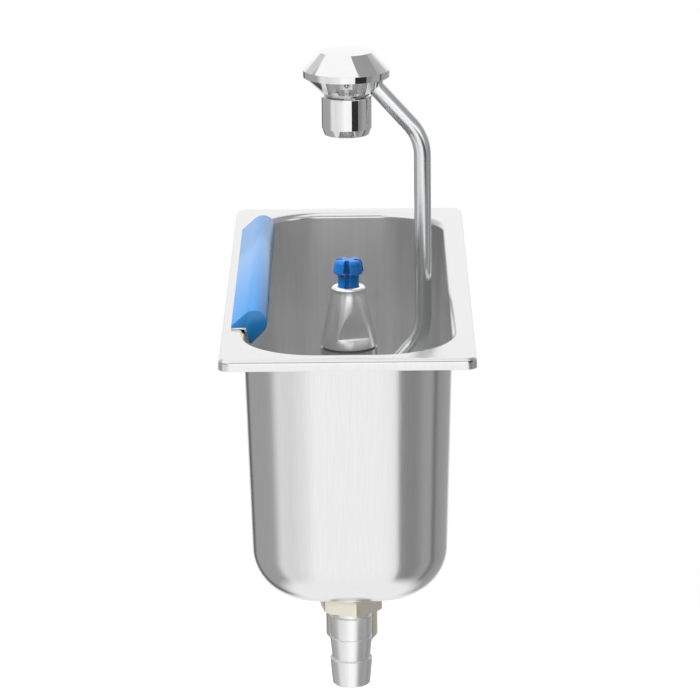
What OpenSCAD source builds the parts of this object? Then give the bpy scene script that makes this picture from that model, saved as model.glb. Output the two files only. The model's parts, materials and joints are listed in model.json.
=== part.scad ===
// Drop-in dipper well with a press-to-rinse jet, an overhead spray head and a wiper bar.
// The origin is the centre of the counter cut-out, level with the counter that the rim's lip rests on.
// +X is to the right of the user, +Y is away from the user and +Z is up.

/* [Basin] */
// Length over the foot of the rim
rim_l = 270; // [250:1:300]
// Width over the foot of the rim
rim_w = 110; // [106:1:122]
// Height of the rim's turned-down lip
rim_h = 5; // [4:0.5:8]
// Plan radius of the rim's outer corners
rim_corner_r = 5; // [4.5:0.5:9]
// Radius of the bend from the flange into the lip
edge_r = 2; // [1.5:0.25:2.5]
// Outward lean of the lip in degrees
lip_lean = 3; // [0:1:8]
// Thickness of the pressed sheet
sheet = 0.8; // [0.6:0.1:1.2]
// From the rim's long edge in to the bend of the mouth
side_flange_w = 7.4; // [6.8:0.1:8.4]
// From the rim's short edge in to the bend of the mouth
end_flange_w = 6.9; // [5:0.1:12]
// Radius of the bend from the flange into the wall
mouth_r = 3; // [2:0.5:4]
// Depth from the top of the rim to the underside of the floor
basin_d = 119; // [112:0.5:140]
// Inward slope of the walls in degrees
wall_draft = 1.6; // [0.5:0.1:2]
// Width of the floor's flat
floor_flat_w = 40; // [38:0.5:44]
// Plan radius of the flat's corners
floor_corner_r = 7.4; // [5:0.1:10]

/* [Wiper bar] */
// From the end of the bowl's straight side in to the bar's end
wiper_inset = 6.8; // [1:0.1:30]
// Radius of the bar's round back
wiper_r = 5.7; // [4.8:0.1:7]
// Width of the wing that lies over the flange
wiper_wing = 6.3; // [5:0.1:7.5]
// Height of the leg that hangs into the bowl
wiper_leg = 7.1; // [5:0.1:8]
// Thickness of the steel angle under the bar
angle_t = 0.8; // [0.5:0.1:1.2]
// Lean of the angle's hanging leg in degrees
angle_lean = 11.3; // [4:0.1:12]

/* [Nozzle] */
// From the top of the rim down to the nozzle's ring
ring_drop = 3.65; // [2:0.05:8]
// Outer radius of the nozzle's ring
ring_r = 7.75; // [7.4:0.05:8.2]
// Thickness of the nozzle's ring
ring_t = 3; // [2:0.1:3.6]
// Height of the nozzle from its foot to its ring
nozzle_h = 27.5; // [26:0.5:34]
// Straight stretch below the ring
nozzle_neck_h = 2.2; // [2:0.1:7]
// Radius at the nozzle's foot
nozzle_foot_r = 12.9; // [12:0.1:14]
// Straight stretch above the foot
nozzle_skirt_h = 0.7; // [0.5:0.1:3]
// Width across the two spanner flats
spanner_w = 18.6; // [17.6:0.1:19.6]
// Height of the ledge under the spanner flats
spanner_ledge_h = 4.8; // [3:0.1:7]
// Turn of the spanner flats from the user's side in degrees
spanner_turn = 14; // [0:1:45]

/* [Plunger] */
// From the top of the rim up to the plunger's top
plunger_rise = 9; // [8:0.5:13]
// Radius of the plunger's head at its foot
plunger_r = 7.1; // [6.6:0.05:8]
// Radius of the plunger's head below its top edge
plunger_top_r = 6.4; // [5.8:0.1:6.6]
// Height of the plunger's head
plunger_head_h = 6.3; // [6:0.1:9]
// Radius of the plunger's stem
stem_r = 4.8; // [4.5:0.05:5.2]
// Width of the head's slots at the head's foot
head_slot_w = 3.8; // [2.4:0.1:4]
// Width of the head's slots at the top
head_slot_top_w = 1.6; // [1:0.1:2.4]
// Width of the slots in the plunger's stem
stem_slot_w = 2.2; // [1:0.1:3]
// Travel of the plunger when it is pressed
plunger_travel = 4.5; // [3:0.1:4.8]

/* [Tube and spray head] */
// Outer radius of the tube
tube_r = 3.85; // [3.5:0.05:4.5]
// Wall of the tube
tube_t = 1; // [0.5:0.1:1.5]
// Turn of the tube at each bend in degrees
tube_turn = 42; // [38:1:46]
// Centreline radius of the tube's bends
tube_bend_r = 22; // [18:0.5:24]
// From the tube's upright to the bowl's wall at the mouth
tube_wall_gap = 6.75; // [5.5:0.05:8]
// From the nozzle's foot down to where the tube's line meets the nozzle's axis
inlet_line_drop = 33; // [32:0.5:38]
// From the top of the rim up to the spray head's top
head_rise = 105.4; // [98:0.1:118]
// Radius of the spray head's flat top
head_top_r = 11.9; // [10:0.1:14]
// Radius of the spray head's band
head_band_r = 19.6; // [18:0.1:21]
// Height of the spray head's band
head_band_h = 3.1; // [1.5:0.1:4]
// Height of the cone above the band
head_upper_h = 8.1; // [7:0.1:11]
// Height of the cone below the band
head_lower_h = 8.7; // [8:0.1:9.5]
// Radius where the lower cone ends
head_neck_r = 10.3; // [9.5:0.1:11]
// Radius of the collar
collar_r = 11.35; // [10.6:0.05:12]
// Height of the collar
collar_h = 17.5; // [15:0.1:22]
// Height of the chamfer at the collar's foot
collar_edge_h = 3.2; // [1:0.1:5]
// Width of the chamfer at the collar's foot
collar_edge_w = 1.1; // [0.5:0.1:1.4]
// Radius of each spray hole
spray_hole_r = 0.6; // [0.4:0.05:0.8]
// Spray holes in the outer ring
spray_holes = 12; // [6:1:14]

/* [Drain] */
// From the end of the floor's flat to the drain's flange
drain_landing = 4; // [1:0.5:24]
// Radius of the drain's flange
drain_flange_r = 16.5; // [15.6:0.1:18]
// Thickness of the drain's flange
drain_flange_t = 2.6; // [2.4:0.1:4]
// Radius of the threaded pipe stems
stem_pipe_r = 10.4; // [10:0.1:10.8]
// Width across the flats of the drain's locknut
drain_nut_w = 25.5; // [24:0.1:30]
// Height of the drain's locknut
drain_nut_h = 7; // [5:0.1:9]
// Radius over the hose tail's barbs
barb_r = 9.4; // [9.1:0.1:10]
// Depth of a barb
barb_depth = 1; // [0.6:0.1:1.4]
// Distance from barb to barb
barb_pitch = 10.1; // [8:0.1:12]
// Barbs below the hose tail's neck
barbs = 3; // [1:1:4]
// Length of the hose tail's neck
tail_neck_h = 3.4; // [2:0.1:8]

/* [Water inlet] */
// Width across the flats of the inlet's locknut
inlet_nut_w = 27; // [25:0.5:32]
// Height of the inlet's locknut
inlet_nut_h = 7; // [5:0.5:10]
// Radius of the inlet coupling
coupling_r = 12; // [11.8:0.1:14]
// Length of the inlet coupling
coupling_h = 30; // [29:0.5:40]
// From the underside of the floor down to the coupling's foot
inlet_drop = 55.4; // [52:0.2:70]
// Radius of the supply thread in the coupling
supply_r = 9.3; // [8.8:0.1:9.6]
// Depth of the supply thread in the coupling
supply_h = 13; // [10:0.5:14]

/* [Hidden] */
$fn = 96;

// Overrun of every cut, running clearance of round fits, and clearance of parts that hang free
overrun = 1;
running_gap = 0.06;
free_gap = 0.3;
// Lap of the basin's bends on the flange's flat
flange_lap = 1;
// Chamfer on turned edges
turned_edge = 0.4;

// Heights of the basin
rim_top = rim_h;
floor_under = rim_top - basin_d;
floor_top = floor_under + sheet;

// The rim: its lip leans out from the edge bend to the foot
rim_axis_x = rim_w / 2 - rim_corner_r;
rim_axis_y = rim_l / 2 - rim_corner_r;
edge_z = rim_top - edge_r;
edge_at = rim_corner_r - edge_r * cos(lip_lean) - (edge_z + edge_r * sin(lip_lean)) * tan(lip_lean);
edge_x = round(100 * edge_at) / 100;

// The mouth and the wall: corners share their axes with the floor's flat, and the wall is tangent to both bends
bowl_axis_x = round(100 * (floor_flat_w / 2 - floor_corner_r)) / 100;
mouth_x = round(100 * (rim_w / 2 - side_flange_w - bowl_axis_x)) / 100;
bowl_axis_y = round(100 * (rim_l / 2 - end_flange_w - mouth_x)) / 100;
mouth_z = rim_top - mouth_r;
bowl_corner_r = mouth_x - mouth_r / cos(wall_draft);
bowl_half_w = bowl_axis_x + bowl_corner_r;
wall_out = [cos(wall_draft), -sin(wall_draft)];
wall_run_x = bowl_corner_r - floor_corner_r;
wall_run_z = mouth_z - floor_top;
floor_bend_r = (wall_run_x * cos(wall_draft) - wall_run_z * sin(wall_draft)) / (1 - sin(wall_draft));
bend_z = floor_top + floor_bend_r;
bend_x = floor_corner_r;

// The wiper bar: its notch sits on the steel angle's corner, and the angle's leg passes the mouth's bend
wiper_l = 2 * (bowl_axis_y - wiper_inset);
leg_gap = 0.1;
wiper_corner_z = rim_top + angle_t;
leg_shift = angle_t / cos(angle_lean) - (wiper_corner_z - mouth_z) * tan(angle_lean);
wiper_corner_x = -bowl_half_w + leg_gap + leg_shift;
wiper_back_share = [0.65, 0.39];
wiper_back = [wiper_r * wiper_back_share[0], wiper_r * wiper_back_share[1]];
wiper_tip_t = 1;
wiper_steps = 32;
wiper_end_gap = 0.4;

// The nozzle and its body
nozzle_top = rim_top - ring_drop;
nozzle_foot = nozzle_top - nozzle_h;
nozzle_seal_t = 1;
nozzle_seal_inset = 1;
nozzle_blend_r = 14;
body_r = nozzle_foot_r;
body_head_h = 3.5;
body_neck_r = 9.6;
body_shoulder = nozzle_foot - nozzle_seal_t;
spigot_r = 7.6;
spigot_h = 12;
chamber_r = 5.4;
nozzle_bore_r = spigot_r + running_gap;
nozzle_cavity_r = 6.9;
gasket_t = 1.5;
body_flange_r = 16;
body_flange_h = 4;
body_flange_z = floor_top + gasket_t;
shank_bore_r = 7;
floor_hole_r = stem_pipe_r + free_gap;

// The tube's route: it leaves the spray head through the lower cone and turns alike at both bends
head_top = rim_top + head_rise;
band_top = head_top - head_upper_h;
band_foot = band_top - head_band_h;
neck_foot = band_foot - head_lower_h;
collar_gap = 0.4;
collar_top = neck_foot - collar_gap;
collar_foot = collar_top - collar_h;
tube_slope = 90 - tube_turn;
tube_entry_share = 0.66;
tube_entry_x = head_band_r - tube_entry_share * (head_band_r - head_neck_r);
tube_entry_z = band_foot - tube_entry_share * head_lower_h;
// The lower run's line crosses the nozzle's axis below the nozzle
tube_reach = bowl_half_w - tube_wall_gap - tube_r;
inlet_cross_z = nozzle_foot - inlet_line_drop;
lower_corner_z = inlet_cross_z + tube_reach * tan(tube_slope);
upper_corner_z = tube_entry_z - (tube_reach - tube_entry_x) * tan(tube_slope);
tube_tangent = tube_bend_r * tan(tube_turn / 2);
tube_socket = 8;
tube_bore_r = tube_r - tube_t;
bend_thinning = 0.02;
bend_lap = 0.1;
upper_run = (tube_reach - tube_entry_x) / cos(tube_slope) + tube_socket;
// Distances along the lower run's line from the nozzle's axis
corner_out = tube_reach / cos(tube_slope);
boss_r = 6.4;
boss_wall = 1.3;
boss_out = 22.4;
boss_thread_r = tube_r + boss_wall;
boss_thread_l = 4.2;
boss_end = boss_out + boss_thread_l;
lower_run = corner_out - boss_end + tube_socket;
port_r = 2.8;
olive_l = 2.6;
olive_t = 1.1;
tube_nut_wall = 1.4;
tube_nut_w = 2 * (boss_thread_r + tube_nut_wall);
tube_nut_gap = 0.3;
tube_nut_l = boss_thread_l + olive_l + tube_nut_wall;

// The valve: seat, poppet, spring and rod, from the tube's port down
seat_gap = 0.6;
seat_top = inlet_cross_z - port_r * cos(tube_slope) - seat_gap;
seat_t = 3;
seat_r = 4;
seat_foot = seat_top - seat_t;
rest_gap = 0.05;
poppet_seal_r = 5.6;
poppet_seal_t = 1.5;
poppet_r = 6;
poppet_t = 2.5;
poppet_top = seat_foot - rest_gap - poppet_seal_t;
poppet_foot = poppet_top - poppet_t;
rod_r = 2;
spring_l = 18;
spring_wire_r = 0.6;
spring_coil_r = 4.4;
spring_turns = 7;
spring_steps = 10;
spring_sides = 6;
spring_ends = 1;
spring_seat_top = poppet_foot - spring_l;
spring_seat_t = 2;
spring_seat_hole_r = 3.2;
spring_seat_rim = 1;

// The plunger
plunger_top = rim_top + plunger_rise;
plunger_head_foot = plunger_top - plunger_head_h;
plunger_edge_r = 2;
plunger_slot_core_r = 2.7;
stem_slot_core_r = 3.2;
plunger_turn = 8;
stop_r = 6.5;
stop_t = 2;
stop_top = nozzle_top - ring_t - rest_gap;
stop_foot = stop_top - stop_t;
rod_socket = 10;
ring_hole_r = stem_r + 0.2;

// The collar, the spray plate and its seal
collar_lip_t = 1.5;
collar_lip_w = 1.5;
head_spigot_r = 7.8;
head_chamber_r = 5.5;
head_chamber_gap = 6;
spray_plate_t = 2;
head_seal_t = 1.5;
plate_z = collar_foot + collar_lip_t;
head_spigot_foot = plate_z + spray_plate_t + head_seal_t;
spray_ring_share = 0.72;
spray_inner_share = 0.4;

// The drain, from the strainer down to the hose tail
drain_y = bowl_axis_y + floor_corner_r - drain_landing - drain_flange_r;
drain_gasket_t = 1.2;
drain_flange_z = floor_top + drain_gasket_t;
drain_bore_r = 7.6;
strainer_r = 9.8;
strainer_t = 1.2;
strainer_hole_r = 1.15;
strainer_ring_holes = 10;
strainer_ring_share = 0.6;
strainer_inner_share = 0.34;
strainer_knob_r = 2.4;
strainer_knob_h = 5;
strainer_z = drain_flange_z + drain_flange_t - strainer_t;
seal_ring_w = 4;
drain_seal_t = 2.4;
drain_washer_t = 1.5;
drain_nut_top = floor_under - drain_seal_t - drain_washer_t;
drain_stem_foot = drain_nut_top - drain_nut_h;
nut_chamfer = 1.2;
drain_nut_turn = -80;
tail_spigot_h = 8;
tail_spigot_r = drain_bore_r - running_gap;
tail_bore_r = 6;
tail_neck_r = barb_r - barb_depth;
first_barb_share = 0.45;
tail_end_h = 12.4;
tail_end_chamfer = 0.8;

// The inlet's fastening and coupling
inlet_washer_t = 1.5;
inlet_washer_w = 4.6;
inlet_nut_top = floor_under - inlet_washer_t;
coupling_foot = floor_under - inlet_drop;
coupling_top = coupling_foot + coupling_h;
coupling_chamfer_w = 2.4;
coupling_chamfer_h = 3.4;
shank_overlap = 12;
shank_foot = coupling_top - shank_overlap;

// Colours
steel = "#c9cccf";
bright_steel = "#dcdfe2";
chrome = "#eceef0";
nickel = "#d8d3c0";
brass = "#c9b06a";
blue = "#1b62c0";
deep_blue = "#1f6fd0";
rubber = "#2b2b2b";

// Points along an arc about c, from angle a to angle b
function arc(c, r, a, b, steps = 8) = [for (i = [0:steps]) c + r * [cos(a + (b - a) * i / steps), sin(a + (b - a) * i / steps)]];

// The angle at which a line from point p touches a circle about c, on the side that side names
function touch(p, c, r, side) = atan2(p[1] - c[1], p[0] - c[0]) + side * acos(r / norm(p - c));

// The bowl's hollow in section, grown by extra: beside the wall, over the floor and out over the mouth's bend
module hollow_section(extra) {
    mouth = [mouth_x, mouth_z];
    bend = [bend_x, bend_z];
    mouth_at = mouth - (mouth_r - extra) * wall_out;
    bend_at = bend + (floor_bend_r + extra) * wall_out;
    intersection() {
        translate([0, floor_top - extra]) square([2 * mouth_x, basin_d]);
        union() {
            translate(bend) circle(r = floor_bend_r + extra);
            translate([0, floor_top - extra]) square([bend_x, basin_d]);
            polygon([[0, bend_z], bend_at, mouth_at, [mouth_at[0], rim_top], [0, rim_top]]);
            difference() {
                translate([0, mouth_at[1]]) square([mouth_x, rim_top - mouth_at[1]]);
                translate(mouth) circle(r = mouth_r - extra);
            }
        }
    }
}

// The rim's hollow in section, grown by extra: under the flange and inside the leaning lip
module rim_section(extra) {
    edge = [edge_x, edge_z];
    lip_out = [cos(lip_lean), sin(lip_lean)];
    lip_foot = edge_x + (edge_r - sheet + extra) / cos(lip_lean) + edge_z * tan(lip_lean);
    intersection() {
        square([2 * rim_w, rim_top - sheet + extra]);
        union() {
            translate(edge) circle(r = edge_r - sheet + extra);
            square([edge_x, rim_top]);
            polygon([[0, 0], [0, edge_z], edge, edge + (edge_r - sheet + extra) * lip_out, [lip_foot, 0]]);
        }
    }
}

// Carries a section round a rectangle of corner axes: the section's x runs outward from the axis
module carried(axis_x, axis_y) {
    for (i = [0, 1], j = [0, 1])
        mirror([i, 0, 0]) mirror([0, j, 0]) translate([axis_x, axis_y, 0]) rotate_extrude(angle = 90) children();
    for (i = [0, 1]) {
        mirror([i, 0, 0]) translate([axis_x, axis_y, 0]) rotate([90, 0, 0]) linear_extrude(2 * axis_y) children();
        mirror([0, i, 0]) translate([-axis_x, axis_y, 0]) rotate([90, 0, 90]) linear_extrude(2 * axis_x) children();
    }
}

// A rectangle with round corners, given by its corner axes and radius
module round_plan(axis_x, axis_y, r) {
    square([2 * (axis_x + r), 2 * axis_y], center = true);
    square([2 * axis_x, 2 * (axis_y + r)], center = true);
    for (i = [-1, 1], j = [-1, 1]) translate([i * axis_x, j * axis_y]) circle(r = r);
}

module ring(r, bore_r, h) {
    difference() {
        cylinder(r = r, h = h);
        translate([0, 0, -overrun]) cylinder(r = bore_r, h = h + 2 * overrun);
    }
}

// A hexagon nut with both faces chamfered
module nut(across, bore_r, h) {
    corner_r = across / sqrt(3);
    difference() {
        intersection() {
            cylinder(r = corner_r, h = h, $fn = 6);
            rotate_extrude() polygon([[0, 0], [corner_r - nut_chamfer, 0], [corner_r, nut_chamfer / 2],
                                      [corner_r, h - nut_chamfer / 2], [corner_r - nut_chamfer, h], [0, h]]);
        }
        translate([0, 0, -overrun]) cylinder(r = bore_r, h = h + 2 * overrun);
    }
}

// Places its children on the lower run's line, measured out from the nozzle's axis
module along_inlet(out) {
    translate([0, 0, inlet_cross_z]) rotate([0, tube_turn, 0]) translate([0, 0, out]) children();
}

// Places its children on the upper run's line, measured from the upper corner towards the head
module along_head(out) {
    translate([tube_reach, 0, upper_corner_z]) rotate([0, -tube_turn, 0]) translate([0, 0, out]) children();
}

module basin() {
    color(steel) difference() {
        union() {
            carried(bowl_axis_x, bowl_axis_y) union() {
                difference() {
                    hollow_section(sheet);
                    hollow_section(0);
                }
                translate([mouth_x, rim_top - sheet]) square([flange_lap, sheet]);
            }
            translate([0, 0, floor_under]) linear_extrude(sheet) round_plan(bowl_axis_x, bowl_axis_y, bend_x);
            translate([0, 0, rim_top - sheet]) linear_extrude(sheet) difference() {
                round_plan(rim_axis_x, rim_axis_y, edge_x);
                round_plan(bowl_axis_x, bowl_axis_y, mouth_x);
            }
            carried(rim_axis_x, rim_axis_y) difference() {
                rim_section(sheet);
                rim_section(0);
                translate([0, rim_top / 2]) square([edge_x - flange_lap, rim_top]);
            }
        }
        translate([0, 0, floor_under - overrun]) cylinder(r = floor_hole_r, h = sheet + 2 * overrun);
        translate([0, -drain_y, floor_under - overrun]) cylinder(r = floor_hole_r, h = sheet + 2 * overrun);
    }
}

// The section of the steel angle, measured from the corner that the bar's notch sits on
module angle_section() {
    down = [sin(angle_lean), -cos(angle_lean)];
    across = angle_t * [cos(angle_lean), sin(angle_lean)];
    inner = angle_t * (1 - sin(angle_lean)) / cos(angle_lean);
    polygon([[-wiper_wing, 0], [0, 0], wiper_leg * down, wiper_leg * down - across, inner * down - across,
             [-wiper_wing, -angle_t]]);
}

module wiper_angle() {
    color(bright_steel) translate([wiper_corner_x, 0, wiper_corner_z]) rotate([90, 0, 0])
        linear_extrude(wiper_l - 2 * wiper_end_gap, center = true) angle_section();
}

module wiper_bar() {
    down = [sin(angle_lean), -cos(angle_lean)];
    wing_tip = [-wiper_wing, wiper_tip_t];
    leg_tip = wiper_leg * down + wiper_tip_t * [cos(angle_lean), -sin(angle_lean)];
    back = arc(wiper_back, wiper_r, touch(leg_tip, wiper_back, wiper_r, 1),
               touch(wing_tip, wiper_back, wiper_r, -1) + 360, wiper_steps);
    color(blue) translate([wiper_corner_x, 0, wiper_corner_z]) rotate([90, 0, 0])
        linear_extrude(wiper_l, center = true)
            polygon(concat([[-wiper_wing, 0], [0, 0], wiper_leg * down, leg_tip], back, [wing_tip]));
}

module valve_body() {
    color(nickel) difference() {
        union() {
            translate([0, 0, body_shoulder]) cylinder(r = spigot_r, h = nozzle_seal_t + spigot_h);
            translate([0, 0, body_shoulder - body_head_h]) cylinder(r = body_r, h = body_head_h);
            translate([0, 0, body_flange_z]) cylinder(r = body_neck_r, h = body_shoulder - body_flange_z);
            translate([0, 0, body_flange_z]) cylinder(r = body_flange_r, h = body_flange_h);
            translate([0, 0, shank_foot]) cylinder(r = stem_pipe_r, h = body_flange_z - shank_foot);
            along_inlet(0) cylinder(r = boss_r, h = boss_out);
            along_inlet(0) cylinder(r = boss_thread_r, h = boss_end);
        }
        translate([0, 0, seat_top]) cylinder(r = chamber_r, h = nozzle_foot + spigot_h - seat_top + overrun);
        translate([0, 0, seat_foot - overrun]) cylinder(r = seat_r, h = seat_t + 2 * overrun);
        translate([0, 0, shank_foot - overrun]) cylinder(r = shank_bore_r, h = seat_foot - shank_foot + overrun);
        along_inlet(0) cylinder(r = port_r, h = boss_end);
        along_inlet(boss_end - tube_socket) cylinder(r = tube_r + running_gap, h = tube_socket + overrun);
    }
}

module body_gasket() {
    color(rubber) translate([0, 0, floor_top]) ring(body_flange_r, floor_hole_r, gasket_t);
}

module inlet_washer() {
    color(rubber) translate([0, 0, inlet_nut_top]) ring(stem_pipe_r + inlet_washer_w, floor_hole_r, inlet_washer_t);
}

module inlet_locknut() {
    color(nickel) translate([0, 0, inlet_nut_top - inlet_nut_h])
        nut(inlet_nut_w, stem_pipe_r + running_gap, inlet_nut_h);
}

module inlet_coupling() {
    color(nickel) difference() {
        translate([0, 0, coupling_foot]) rotate_extrude()
            polygon([[0, 0], [coupling_r - coupling_chamfer_w, 0], [coupling_r, coupling_chamfer_h],
                     [coupling_r, coupling_h - turned_edge], [coupling_r - turned_edge, coupling_h], [0, coupling_h]]);
        translate([0, 0, coupling_foot - overrun]) cylinder(r = supply_r, h = supply_h + overrun);
        translate([0, 0, coupling_foot]) cylinder(r = shank_bore_r, h = coupling_h);
        translate([0, 0, shank_foot]) cylinder(r = stem_pipe_r + running_gap, h = shank_overlap + overrun);
    }
}

module nozzle_cone() {
    slope_top = nozzle_h - nozzle_neck_h;
    flare = atan((nozzle_foot_r - ring_r) / (slope_top - nozzle_skirt_h));
    blend_l = nozzle_blend_r * tan(flare / 2);
    outline = concat(
        [[0, 0], [nozzle_foot_r - turned_edge, 0], [nozzle_foot_r, turned_edge], [nozzle_foot_r, nozzle_skirt_h]],
        arc([ring_r + nozzle_blend_r, slope_top + blend_l], nozzle_blend_r, 180 + flare, 180, 6),
        [[ring_r, nozzle_h - turned_edge], [ring_r - turned_edge, nozzle_h], [0, nozzle_h]]);
    color(bright_steel) translate([0, 0, nozzle_foot]) difference() {
        rotate_extrude() polygon(outline);
        translate([0, 0, -overrun]) cylinder(r = nozzle_bore_r, h = spigot_h + 2 * overrun);
        cylinder(r = nozzle_cavity_r, h = nozzle_h - ring_t);
        cylinder(r = ring_hole_r, h = nozzle_h + overrun);
        for (i = [0, 180])
            rotate([0, 0, spanner_turn + i]) translate([-nozzle_foot_r, -nozzle_foot_r - spanner_w / 2, spanner_ledge_h])
                cube([2 * nozzle_foot_r, nozzle_foot_r, nozzle_h]);
    }
}

module nozzle_seal() {
    color(rubber) translate([0, 0, body_shoulder]) ring(body_r - nozzle_seal_inset, nozzle_bore_r, nozzle_seal_t);
}

module spray_plunger() {
    head_z = plunger_head_foot - stop_foot;
    top_z = plunger_top - stop_foot;
    outline = concat(
        [[0, 0], [stop_r, 0], [stop_r, stop_t], [stem_r, stop_t], [stem_r, head_z],
         [plunger_r - turned_edge, head_z], [plunger_r, head_z + turned_edge]],
        arc([plunger_top_r - plunger_edge_r, top_z - plunger_edge_r], plunger_edge_r, 0, 90),
        [[0, top_z]]);
    slot = [[-head_slot_w / 2, 0], [head_slot_w / 2, 0], [head_slot_top_w / 2, plunger_head_h],
            [head_slot_top_w / 2, plunger_head_h + overrun], [-head_slot_top_w / 2, plunger_head_h + overrun],
            [-head_slot_top_w / 2, plunger_head_h]];
    color(deep_blue) translate([0, 0, stop_foot]) rotate([0, 0, -plunger_turn]) difference() {
        rotate_extrude() polygon(outline);
        for (i = [0:3]) rotate([0, 0, i * 90]) {
            translate([plunger_slot_core_r, 0, head_z]) rotate([90, 0, 90]) linear_extrude(plunger_r) polygon(slot);
            translate([stem_slot_core_r, -stem_slot_w / 2, -overrun])
                cube([stop_r, stem_slot_w, head_z + overrun + turned_edge]);
        }
        translate([0, 0, -overrun]) cylinder(r = rod_r + running_gap, h = rod_socket + overrun);
    }
}

module valve_rod() {
    color(bright_steel) translate([0, 0, poppet_foot])
        cylinder(r = rod_r, h = stop_foot + rod_socket - poppet_foot);
}

module valve_poppet() {
    color(brass) translate([0, 0, poppet_foot]) difference() {
        rotate_extrude() polygon([[0, 0], [poppet_r - turned_edge, 0], [poppet_r, turned_edge], [poppet_r, poppet_t], [0, poppet_t]]);
        translate([0, 0, -overrun]) cylinder(r = rod_r + running_gap, h = poppet_t + 2 * overrun);
    }
}

module poppet_seal() {
    color(rubber) translate([0, 0, poppet_top]) ring(poppet_seal_r, rod_r + running_gap, poppet_seal_t);
}

// The spring's centreline: closed flat turns at both ends and open turns between
function spring_height(t) =
    let (closed = 2.2 * spring_wire_r, open = spring_l - 2 * spring_wire_r - 2 * closed)
    t < spring_ends ? closed * t / spring_ends
    : t > spring_turns - spring_ends ? closed + open + closed * (t - spring_turns + spring_ends) / spring_ends
    : closed + open * (t - spring_ends) / (spring_turns - 2 * spring_ends);

module valve_spring() {
    count = spring_turns * spring_steps;
    points = [for (i = [0:count]) let (t = i / spring_steps, a = 360 * t, z = spring_wire_r + spring_height(t))
        for (k = [0:spring_sides - 1]) let (b = 360 * k / spring_sides)
            [(spring_coil_r + spring_wire_r * cos(b)) * cos(a), (spring_coil_r + spring_wire_r * cos(b)) * sin(a),
             z + spring_wire_r * sin(b)]];
    sides = [for (i = [0:count - 1], k = [0:spring_sides - 1])
        let (a = i * spring_sides + k, b = i * spring_sides + (k + 1) % spring_sides, c = a + spring_sides, d = b + spring_sides)
        each [[a, c, b], [b, c, d]]];
    first_end = [for (k = [0:spring_sides - 1]) k];
    last_end = [for (k = [spring_sides - 1:-1:0]) count * spring_sides + k];
    color(steel) translate([0, 0, spring_seat_top]) polyhedron(concat(points), concat(sides, [first_end, last_end]));
}

module spring_seat() {
    color(brass) translate([0, 0, spring_seat_top - spring_seat_t])
        ring(shank_bore_r - running_gap, spring_seat_hole_r, spring_seat_t);
}

// The tube's whole run at radius r, lengthened at both ends by extra: its straights lap into the bends
module tube_run(r, extra) {
    straight_top = upper_corner_z - tube_tangent;
    straight_foot = lower_corner_z + tube_tangent;
    straight_l = straight_top - straight_foot;
    along_head(tube_tangent - bend_lap) cylinder(r = r, h = upper_run - tube_tangent + bend_lap + extra);
    translate([tube_reach - tube_bend_r, 0, straight_top]) rotate([90, 0, 0])
        rotate_extrude(angle = tube_turn) translate([tube_bend_r, 0]) circle(r = r - bend_thinning);
    translate([tube_reach, 0, straight_foot - bend_lap]) cylinder(r = r, h = straight_l + 2 * bend_lap);
    translate([tube_reach - tube_bend_r, 0, straight_foot]) rotate([90, 0, 0]) rotate([0, 0, -tube_turn])
        rotate_extrude(angle = tube_turn) translate([tube_bend_r, 0]) circle(r = r - bend_thinning);
    along_inlet(corner_out - lower_run - extra) cylinder(r = r, h = lower_run - tube_tangent + bend_lap + extra);
}

module rinse_tube() {
    color(bright_steel) difference() {
        tube_run(tube_r, 0);
        tube_run(tube_bore_r, overrun);
    }
}

module tube_nut() {
    color(bright_steel) difference() {
        along_inlet(boss_out + tube_nut_gap) nut(tube_nut_w, tube_r + running_gap, tube_nut_l);
        along_inlet(boss_out) cylinder(r = boss_thread_r + running_gap, h = boss_thread_l + olive_l);
    }
}

module tube_olive() {
    color(brass) along_inlet(boss_end) difference() {
        rotate_extrude() polygon([[0, 0], [tube_r + olive_t, 0], [tube_r + olive_t, olive_l / 2],
                                  [tube_r + olive_t / 2, olive_l], [0, olive_l]]);
        translate([0, 0, -overrun]) cylinder(r = tube_r + running_gap, h = olive_l + 2 * overrun);
    }
}

module spray_head() {
    color(chrome) difference() {
        rotate_extrude() polygon([[0, head_spigot_foot], [head_spigot_r, head_spigot_foot], [head_spigot_r, neck_foot],
            [head_neck_r, neck_foot], [head_band_r - turned_edge / 2, band_foot - turned_edge / 2],
            [head_band_r, band_foot + turned_edge / 2], [head_band_r, band_top - turned_edge / 2],
            [head_band_r - turned_edge / 2, band_top + turned_edge / 2], [head_top_r, head_top], [0, head_top]]);
        translate([0, 0, head_spigot_foot - overrun])
            cylinder(r = head_chamber_r, h = head_top - head_chamber_gap - head_spigot_foot + overrun);
        along_head(upper_run - tube_socket - tube_r) cylinder(r = tube_r + running_gap, h = tube_socket + tube_r);
        along_head(upper_run - overrun) cylinder(r = port_r, h = head_band_r - head_top_r);
    }
}

module head_collar() {
    foot_r = collar_r - collar_edge_w;
    color(chrome) translate([0, 0, collar_foot]) difference() {
        rotate_extrude() polygon([[0, 0], [foot_r - turned_edge, 0], [foot_r, turned_edge], [collar_r, collar_edge_h],
            [collar_r, collar_h - turned_edge], [collar_r - turned_edge, collar_h], [0, collar_h]]);
        translate([0, 0, collar_lip_t]) cylinder(r = head_spigot_r + running_gap, h = collar_h);
        translate([0, 0, -overrun]) cylinder(r = head_spigot_r - collar_lip_w, h = collar_h);
    }
}

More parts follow.
